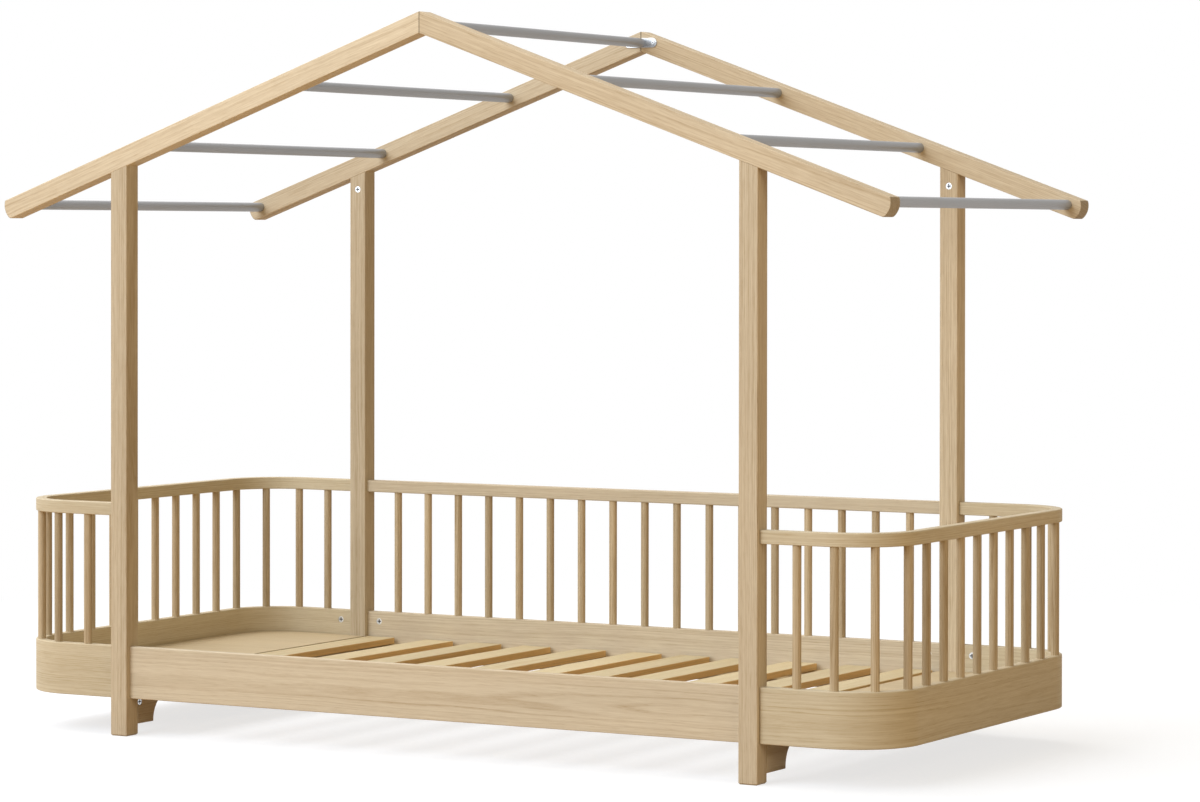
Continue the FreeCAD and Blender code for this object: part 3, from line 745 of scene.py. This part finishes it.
def bent_board(side_x, bottom, top, node):
    """Rounded section carried round the U of an end.

    A point at distance r from the bend's centre line lies at B + r * (cos a, sin a): along the
    arms B moves along X with a at a quarter turn, round the bends a turns, and along the end B
    moves along Y with a at 0.
    """
    inner_radius = bend_radius - bent_thickness
    corners = [(inner_radius, bottom), (bend_radius, bottom)]
    corners += [(bend_radius, top), (inner_radius, top)]
    section = rounded(corners, bent_corner)[0]
    bevel = np.linspace(0, math.pi / 2, 5)
    arm_x = np.append(end_face_x + arm_end_bevel * (1 - np.cos(bevel)), bend_centre_x)
    inset = np.append(arm_end_bevel * (1 - np.sin(bevel)), 0)
    turns = np.linspace(math.pi / 2, 0, 33)[1:]
    bend_run = np.ones(len(turns))
    half_x = np.concatenate([arm_x, bend_centre_x * bend_run])
    half_turn = np.concatenate([np.full(len(arm_x), math.pi / 2), turns])
    half_inset = np.concatenate([inset, 0 * bend_run])
    centre_x = np.concatenate([half_x, half_x[::-1]])
    angle = np.concatenate([half_turn, -half_turn[::-1]])
    drawn_in = np.concatenate([half_inset, half_inset[::-1]])
    centre_y = np.repeat([bend_centre_y, -bend_centre_y], len(half_x))
    shrink = 1 - drawn_in / (bent_thickness / 2)
    off_centre = section[None, :, 0] - centreline_radius
    radial = centreline_radius + off_centre * shrink[:, None]
    x = side_x * (centre_x[:, None] + radial * np.cos(angle)[:, None])
    y = centre_y[:, None] + radial * np.sin(angle)[:, None]
    z = np.broadcast_to(section[:, 1], x.shape)
    rings = np.stack([x, y, z], axis=-1)
    if side_x < 0:
        rings = rings[::-1]
    return shell("bent_" + node, rings[None])


def end_module(x_name, side_x):
    """Bent base with its lock holes, and bent rail."""
    base_node, rail_node = "end_base_" + x_name, "end_rail_" + x_name
    base = bent_board(side_x, base_low.z, base_high.z, base_node)
    lock_x = side_x * (end_face_x + base_lock_distance)
    for side_y in (-1, 1):
        place = (lock_x, side_y * arm_inner_y, base_lock_z)
        bored(base, [place], (0, side_y, 0), lock_bore_radius, arm_bore_depth)
    rail = bent_board(side_x, rail_low.z, rail_high.z, rail_node)
    for piece, node in ((base, base_node), (rail, rail_node)):
        bent_grain(piece)
        finish_piece(piece, laminate, [node])


for x_name, side_x in (("left", -1), ("right", 1)):
    end_module(x_name, side_x)


# ---- spindles ----------------------------------------------------------------

spindle_pitch = 83 * MM
end_spindle_inset = 77.5 * MM
rear_spindle_inset = 81 * MM


def even_places(length, inset):
    """Distances of the spindles along a row, at the even pitch nearest to the named one."""
    spaces = max(1, round((length - 2 * inset) / spindle_pitch))
    return np.linspace(inset, length - inset, spaces + 1)


def bent_places(side_x):
    """Spindle feet round an end: the U's centreline measured from the front post."""
    arm = bend_centre_x - end_face_x
    bend = centreline_radius * math.pi / 2
    half = arm + bend + bend_centre_y
    distance = even_places(2 * half, end_spindle_inset)
    side_y = np.where(distance > half, 1, -1)
    distance = np.minimum(distance, 2 * half - distance)
    angle = np.clip((distance - arm) / centreline_radius, 0, math.pi / 2)
    x = bend_centre_x + np.minimum(distance - arm, 0) + centreline_radius * np.sin(angle)
    past = np.maximum(distance - arm - bend, 0)
    y = bend_centre_y - past + centreline_radius * np.cos(angle)
    return np.stack([side_x * x, side_y * y, np.full(len(x), base_high.z)], axis=1)


def spindle_row(name, places, node):
    """Straight turned spindles, each cut from wood of its own."""
    length = rail_low.z - base_high.z
    rings = turning(places, (0, 0, 1), [spindle_radius] * 2, [0, length], around=36)
    piece = shell(name, rings)
    each = len(piece.data.vertices) // len(places)
    local = points_of(piece)[:, [2, 0, 1]]
    local[:, 1:] -= np.repeat(places[:, :2], each, axis=0)
    shift = np.repeat(plank_shift(len(places)), each, axis=0)
    stamp(piece, local + shift, np.repeat(plank_tone(len(places)), each))
    finish_piece(piece, spindle_oak, [node])


for x_name, side_x in (("left", -1), ("right", 1)):
    node = "end_spindles_" + x_name
    spindle_row("turned_" + node, bent_places(side_x), node)
rear_steps = even_places(2 * bay_face_x, rear_spindle_inset) - bay_face_x
rear_feet = np.stack(
    [rear_steps, np.full(len(rear_steps), post_y), np.full(len(rear_steps), base_high.z)], axis=1
)
spindle_row("turned_spindles_rear", rear_feet, "spindles_rear")


# ---- straight sides ----------------------------------------------------------


def bay_board(node):
    """Board from post to post along the bed, otherwise as large as its node's box."""
    low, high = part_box(node)
    low.x, high.x = -bay_face_x, bay_face_x
    return beam("board_" + node, low, high, 0, board_corner, butt_arris)


def side_panel(y_name, side_y):
    """Side panel between the posts, with a lock hole near each end."""
    node = "side_panel_" + y_name
    piece = bay_board(node)
    lock_x = bay_face_x - base_lock_distance
    for side_x in (-1, 1):
        place = (side_x * lock_x, side_y * panel_inner_y, base_lock_z)
        bored(piece, [place], (0, side_y, 0), lock_bore_radius, panel_bore_depth)
    straight_grain(piece, (1, 0, 0))
    finish_piece(piece, board_oak, [node])


side_panel("front", -1)
side_panel("rear", 1)

rear_rail = bay_board("rail_rear")
straight_grain(rear_rail, (1, 0, 0))
finish_piece(rear_rail, board_oak, ["rail_rear"])


# ---- platform ----------------------------------------------------------------

arch_radius = 58 * MM
cross_lug_width = 83 * MM
lug_corner = 1.5 * MM
crown_radius = arch_radius * 0.995 - 2 * lug_corner  # leaves a short upright over each lug
platform_arris = 1.2 * MM  # of the cross boards and end panels
panel_clearance = 1.5 * MM
panel_corner = 1.3 * MM
ledge_corner = 1.2 * MM
ledge_arris = 0.5 * MM
slat_corner = 1.8 * MM
slat_arris = 0.8 * MM


def cross_board(x_name, side_x):
    """Board across the bed, arched between its two lugs."""
    node = "cross_board_" + x_name
    low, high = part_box(node)
    foot_y = high.y - cross_lug_width
    crown_z = low.z + arch_radius
    corners = [(-high.y, low.z), (-foot_y, low.z), (-foot_y, crown_z), (foot_y, crown_z)]
    corners += [(foot_y, low.z), (high.y, low.z), (high.y, high.z), (-high.y, high.z)]
    radii = [lug_corner] * 2 + [crown_radius] * 2 + [lug_corner] * 4
    outline, normals = rounded(corners, radii, steps=12)
    thickness = high.x - low.x
    origin, axes = (low.x, 0, 0), ((0, 1, 0), (0, 0, 1))
    piece = slab("board_" + node, outline, normals, origin, *axes, thickness, platform_arris)
    face_x = low.x if side_x > 0 else high.x
    for side_y in (-1, 1):
        place = (face_x, side_y * (high.y - base_lock_distance), cross_lock_z)
        bored(piece, [place], (side_x, 0, 0), lock_bore_radius, cross_bore_depth)
    straight_grain(piece, (0, 1, 0))
    finish_piece(piece, board_oak, [node])


def end_panel(x_name, side_x):
    """Panel notched round the posts, round at the end's corners, its edge by the slats darkened
    with painted shade.
    """
    node = "end_panel_" + x_name
    low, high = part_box(node)
    near_x, far_x = (low.x, high.x) if side_x > 0 else (-high.x, -low.x)
    notch_x, notch_y = end_face_x + panel_clearance, inner_face_y - panel_clearance
    half = [(near_x, -notch_y), (notch_x, -notch_y), (notch_x, -high.y), (far_x, -high.y)]
    corners = np.array(half + [(x, -y) for x, y in half[::-1]])
    wide_radius = bend_radius - bent_thickness - panel_clearance
    radii = [panel_corner] * 3 + [wide_radius] * 2 + [panel_corner] * 3
    if side_x < 0:
        corners = (corners * (-1, 1))[::-1]
    outline, normals = rounded(corners, radii, steps=12)
    thickness = high.z - low.z
    origin, axes = (0, 0, low.z), ((1, 0, 0), (0, 1, 0))
    piece = slab("board_" + node, outline, normals, origin, *axes, thickness, platform_arris)
    # painted shade on the edge that faces the slats, where the gap is in shade
    gap_side = normals[:, 0] * side_x < -0.9
    straight_grain(piece, (1, 0, 0), shade=on_rims(gap_shade * gap_side))
    finish_piece(piece, panel_veneer, [node])


def plain_bar(name, node, axis, corner, arris, material):
    """Bar that fills its node's box."""
    low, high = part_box(node)
    piece = beam(name, low, high, axis, corner, arris)
    straight_grain(piece, np.eye(3)[axis])
    return finish_piece(piece, material, [node])


def mark_shaded_sides(piece, corner):
    """Edge attribute for painted shade: 0 on the board's faces, rising round its corners to 1 on
    its long edges.
    """
    x = points_of(piece)[:, 0]
    from_edge = np.minimum(x - x.min(), x.max() - x)
    attribute = piece.data.attributes.new("edge", "FLOAT", "POINT")
    edge = np.clip(1 - from_edge / corner, 0, 1)
    attribute.data.foreach_set("value", edge.astype(np.float32))


for x_name, side_x in (("left", -1), ("right", 1)):
    cross_board(x_name, side_x)
    end_panel(x_name, side_x)
    node = "end_cleat_" + x_name
    plain_bar("bar_" + node, node, 1, ledge_corner, ledge_arris, ledge_pine)
for y_name in ("front", "rear"):
    node = "slat_ledge_" + y_name
    plain_bar("bar_" + node, node, 0, ledge_corner, ledge_arris, ledge_pine)
slat_count = sum(name.startswith("slat_") and name[-2:].isdigit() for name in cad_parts)
for number in range(1, slat_count + 1):
    node = f"slat_{number:02d}"
    slat = plain_bar("board_" + node, node, 1, slat_corner, slat_arris, slat_pine)
    mark_shaded_sides(slat, slat_corner)


# ---- roof rods and metal -----------------------------------------------------


def roof_rod(node):
    """Tube: its wall's section turned about its axis, which closes on itself."""
    low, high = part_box(node)
    x, z = (low.x + high.x) / 2, (low.z + high.z) / 2
    bore = rod_radius - rod_wall
    length = high.y - low.y
    radii = [bore, rod_radius, rod_radius, bore]
    distances = [0, 0, length, length]
    rings = turning([(x, low.y, z)], (0, 1, 0), radii, distances, around=56)
    piece = shell("tube_" + node, rings)
    finish_piece(piece, rod_lacquer, [node])


for node in sorted(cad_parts):
    if node.startswith("roof_rod_"):
        roof_rod(node)


head_around = 96
head_rim = 0.06  # bevel of a head's rim, in radii
cross_blur = 0.12  # of the cross's edges, in its widths


def cross_head(places, direction, radius, length, cross):
    """Rings of round heads with a cross sunk into the face, and how far each point is sunk.

    At radius r and angle a the face drops by the cross's depth where the lesser of
    |r cos a| and |r sin a| is under half its width and r is under its reach.
    """
    cross_reach, cross_width, cross_depth = cross
    axis_u, axis_v = side_axes(direction)
    angle = np.linspace(0, 2 * math.pi, head_around, endpoint=False)
    face = np.linspace(0.03, 1 - head_rim, 26) * radius
    rim = np.linspace(0, math.pi / 2, 4)[1:]
    bevel = head_rim * radius
    radii = np.concatenate([face, radius - bevel + bevel * np.sin(rim), [radius]])
    drops = np.concatenate([0 * face, bevel * (1 - np.cos(rim)), [length]])
    lesser = np.minimum(np.abs(np.cos(angle)), np.abs(np.sin(angle)))[None, :] * radii[:, None]
    edge = cross_blur * cross_width
    slot_side = np.clip((cross_width / 2 - lesser) / edge + 0.5, 0, 1)
    slot_end = np.clip((cross_reach - radii[:, None]) / edge + 0.5, 0, 1)
    sunk = slot_side * slot_end
    drop = drops[:, None] + cross_depth * sunk
    circle = np.cos(angle)[:, None] * axis_u + np.sin(angle)[:, None] * axis_v
    head = radii[:, None, None] * circle + drop[..., None] * np.asarray(direction, float)
    return np.asarray(places, float)[:, None, None, :] + head, sunk


def metal_heads(name, node, rings, sunk):
    """Metal heads that stand for a node, with painted shade down in the cross."""
    piece = shell(name, rings)
    stamp(piece, points_of(piece), np.tile(sunk.ravel(), len(rings)))
    finish_piece(piece, cast_zinc, [node])


def four_places(x, y, z):
    """The same place at the four corners of the bed."""
    return [(side_x * x, side_y * y, z) for side_x in (-1, 1) for side_y in (-1, 1)]


def locks(node, place, axis, depth):
    """Four locks, each sunk into the wood along one axis, away from the bed's middle."""
    rings = []
    for corner in four_places(*place):
        direction = np.sign(corner) * np.eye(3)[axis]
        start = corner + lock_setback * direction
        head, sunk = cross_head([start], direction, lock_radius, depth, lock_cross)
        rings.append(head[0])
    metal_heads("lock_" + node, node, rings, sunk)


cross_low, cross_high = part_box("cross_board_right")
arm_place = (end_face_x + base_lock_distance, arm_inner_y, base_lock_z)
panel_place = (bay_face_x - base_lock_distance, panel_inner_y, base_lock_z)
roof_place = (post_x, inner_face_y, roof_lock_z)
cross_place = (cross_low.x, cross_high.y - base_lock_distance, cross_lock_z)
locks("end_base_locks", arm_place, 1, arm_lock_depth)
locks("side_panel_locks", panel_place, 1, panel_lock_depth)
locks("roof_locks", roof_place, 1, post_lock_depth)
locks("cross_board_locks", cross_place, 0, cross_lock_depth)


def ridge_plate(y_name, side_y):
    """Stadium plate across the mitre, on the rafters' inner faces."""
    node = "ridge_plate_" + y_name
    half_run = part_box(node)[1].x
    round_end = plate_height / 2
    corners = [(-half_run, -round_end), (half_run, -round_end)]
    corners += [(half_run, round_end), (-half_run, round_end)]
    outline, normals = rounded(corners, round_end * 0.999, steps=16)
    face_y = side_y * inner_face_y
    start_y = face_y if side_y > 0 else face_y + plate_thickness
    origin, axes = (0, start_y, plate_z), ((1, 0, 0), (0, 0, 1))
    piece = slab("metal_" + node, outline, normals, origin, *axes, plate_thickness, plate_arris)
    finish_piece(piece, zinc, [node])


for y_name, side_y in (("front", -1), ("rear", 1)):
    ridge_plate(y_name, side_y)

screw_rings = []
for side_y in (-1, 1):
    head_y = side_y * (inner_face_y - plate_thickness - screw_head_height)
    places = [(side_x * plate_screw_spacing / 2, head_y, plate_z) for side_x in (-1, 1)]
    head, sunk = cross_head(places, (0, side_y, 0), screw_radius, screw_length, screw_cross)
    screw_rings.append(head)
metal_heads("metal_ridge_plate_screws", "ridge_plate_screws", np.concatenate(screw_rings), sunk)

# the bolts keep the frame's own shape, in zinc
for node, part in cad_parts.items():
    if node.endswith("_bolts"):
        part.data.materials.clear()
        part.data.materials.append(zinc)

# ---- stage -------------------------------------------------------------------

stage_reach = 14.0
floor_colour = (0.33, 0.352, 0.395, 1.0)
floor_lift = 0.72
floor_bounce = (0.48, 0.32, 0.15, 1.0)
fade_start, fade_end = 2.1, 3.6  # from the middle of the bed
ambient_colour = (1.0, 0.73, 0.38, 1.0)
ambient_strength = 0.26


def white_floor():
    """Large floor that shows the bed's shadow and fades to white around it.

    The camera sees its colour lifted towards white; the bed is lit by a warmer bounce.
    """
    corners = stage_reach * np.array([(-1, -1, 0), (1, -1, 0), (1, 1, 0), (-1, 1, 0)])
    mesh = bpy.data.meshes.new("floor")
    mesh.from_pydata(corners.tolist(), [], [(0, 1, 2, 3)])
    floor = bpy.data.objects.new("floor", mesh)
    bpy.context.scene.collection.objects.link(floor)
    material, tree, shader = new_material("floor_white")
    shader.inputs["Base Color"].default_value = floor_colour
    shader.inputs["Roughness"].default_value = 0.8
    shader.inputs["Specular IOR Level"].default_value = 0.0
    white = put(tree, "Emission", {"Color": (1, 1, 1, 1), "Strength": 1.0})
    lift = put(tree, "Emission", {"Color": (1, 1, 1, 1), "Strength": floor_lift})
    seen = seen_directly(tree)
    place = put(tree, "TexCoord").outputs["Object"]
    away = put(tree, "VectorMath", {0: place}, operation="LENGTH").outputs["Value"]
    far = spread(tree, away, fade_start, fade_end, 0.0, 1.0)
    lifted = put(tree, "AddShader", {0: shader.outputs[0], 1: lift.outputs[0]})
    bounce = put(tree, "BsdfDiffuse", {"Color": floor_bounce})
    near_mix = put(tree, "MixShader", {0: seen, 1: bounce.outputs[0], 2: lifted.outputs[0]})
    far_share = figure(tree, "MULTIPLY", far, seen)
    mix = put(tree, "MixShader", {0: far_share, 1: near_mix.outputs[0], 2: white.outputs[0]})
    tree.links.new(mix.outputs[0], tree.nodes["Material Output"].inputs["Surface"])
    floor.data.materials.append(material)


def soft_world():
    """Even warm surroundings, plain white where the camera, gloss or glass sees them."""
    world = bpy.data.worlds.new("studio")
    bpy.context.scene.world = world
    world.use_nodes = True
    tree = world.node_tree
    ambient = tree.nodes["Background"]
    ambient.inputs["Color"].default_value = ambient_colour
    ambient.inputs["Strength"].default_value = ambient_strength
    white = put(tree, "Background", {"Color": (1, 1, 1, 1), "Strength": 1.0})
    shaders = {0: seen_directly(tree), 1: ambient.outputs[0], 2: white.outputs[0]}
    mix = put(tree, "MixShader", shaders)
    tree.links.new(mix.outputs[0], tree.nodes["World Output"].inputs["Surface"])


def softbox(name, place, target, size, power, colour):
    """Square area lamp that looks at a point."""
    data = bpy.data.lights.new(name, "AREA")
    data.size = size
    data.energy = power
    data.color = colour
    lamp = bpy.data.objects.new(name, data)
    lamp.location = place
    lamp.rotation_euler = (Vector(target) - Vector(place)).to_track_quat("-Z", "Y").to_euler()
    bpy.context.scene.collection.objects.link(lamp)


white_floor()
soft_world()
softbox("key", (-6.2, -14.3, 9.4), (0, 0, 0.5), size=15.5, power=2960, colour=(0.885, 0.947, 1.0))
softbox("top", (-4.0, 0.5, 6.4), (0, 0, 0.2), size=8.0, power=500, colour=(1.0, 0.95, 0.88))
softbox("fill", (7.0, -2.6, 2.4), (0.3, 0, 0.4), size=3.0, power=115, colour=(1.0, 0.855, 0.62))

# ---- camera ------------------------------------------------------------------

camera_place = (4.4437, -7.5414, 1.1003)
camera_forward = (-0.4946, 0.8691, -0.0087)
camera_roll = math.radians(0.057)
camera_lens = 119.34
camera_shift_y = -0.1103

camera_data = bpy.data.cameras.new("camera")
camera_data.sensor_width = 36
camera_data.sensor_fit = "HORIZONTAL"
camera_data.lens = camera_lens
camera_data.shift_y = camera_shift_y
camera = bpy.data.objects.new("camera", camera_data)
facing = Vector(camera_forward).to_track_quat("-Z", "Y").to_matrix()
camera.matrix_world = Matrix.Translation(camera_place) @ (
    facing @ Matrix.Rotation(camera_roll, 3, "Z")
).to_4x4()
bpy.context.scene.collection.objects.link(camera)
bpy.context.scene.camera = camera
bpy.context.scene.view_settings.view_transform = "Standard"
